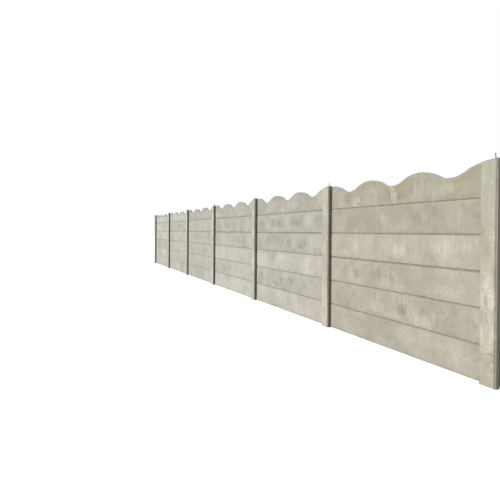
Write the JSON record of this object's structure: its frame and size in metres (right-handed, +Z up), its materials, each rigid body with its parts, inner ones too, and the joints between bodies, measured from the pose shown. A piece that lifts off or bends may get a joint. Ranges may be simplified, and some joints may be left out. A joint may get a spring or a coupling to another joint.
{
  "type": "precast concrete boundary wall",
  "caption": "Precast concrete boundary wall in bays: H-section posts hold planks laid edge on edge under a wavy top plank, and a bar end stands out of each post.",
  "frame": {"origin": "centre of the middle post's foot, at ground level", "axes": "+X along the wall towards the right-hand end as seen from the front, the front face towards -Y, +Z up"},
  "size_m": [12.926, 0.15, 1.845],
  "materials": {
    "post_concrete": "cast concrete, weathered",
    "plank_concrete": "cast concrete, weathered and blotchy",
    "wavy_plank_concrete": "cast concrete, weathered and blotchy",
    "bar_steel": "ribbed, rusted"
  },
  "bodies": {
    "root": {"post_1": "post_concrete", "post_2": "post_concrete", "post_3": "post_concrete", "post_4": "post_concrete", "post_5": "post_concrete", "post_6": "post_concrete", "post_7": "post_concrete", "bay_1_plank_1": "plank_concrete", "bay_1_plank_2": "plank_concrete", "bay_1_plank_3": "plank_concrete", "bay_1_plank_4": "plank_concrete", "bay_1_plank_5": "plank_concrete", "bay_2_plank_1": "plank_concrete", "bay_2_plank_2": "plank_concrete", "bay_2_plank_3": "plank_concrete", "bay_2_plank_4": "plank_concrete", "bay_2_plank_5": "plank_concrete", "bay_3_plank_1": "plank_concrete", "bay_3_plank_2": "plank_concrete", "bay_3_plank_3": "plank_concrete", "bay_3_plank_4": "plank_concrete", "bay_3_plank_5": "plank_concrete", "bay_4_plank_1": "plank_concrete", "bay_4_plank_2": "plank_concrete", "bay_4_plank_3": "plank_concrete", "bay_4_plank_4": "plank_concrete", "bay_4_plank_5": "plank_concrete", "bay_5_plank_1": "plank_concrete", "bay_5_plank_2": "plank_concrete", "bay_5_plank_3": "plank_concrete", "bay_5_plank_4": "plank_concrete", "bay_5_plank_5": "plank_concrete", "bay_6_plank_1": "plank_concrete", "bay_6_plank_2": "plank_concrete", "bay_6_plank_3": "plank_concrete", "bay_6_plank_4": "plank_concrete", "bay_6_plank_5": "plank_concrete", "bay_1_wavy_top_plank": "wavy_plank_concrete", "bay_2_wavy_top_plank": "wavy_plank_concrete", "bay_3_wavy_top_plank": "wavy_plank_concrete", "bay_4_wavy_top_plank": "wavy_plank_concrete", "bay_5_wavy_top_plank": "wavy_plank_concrete", "bay_6_wavy_top_plank": "wavy_plank_concrete", "reinforcing_bar_stubs": "bar_steel"}
  },
  "joints": []
}
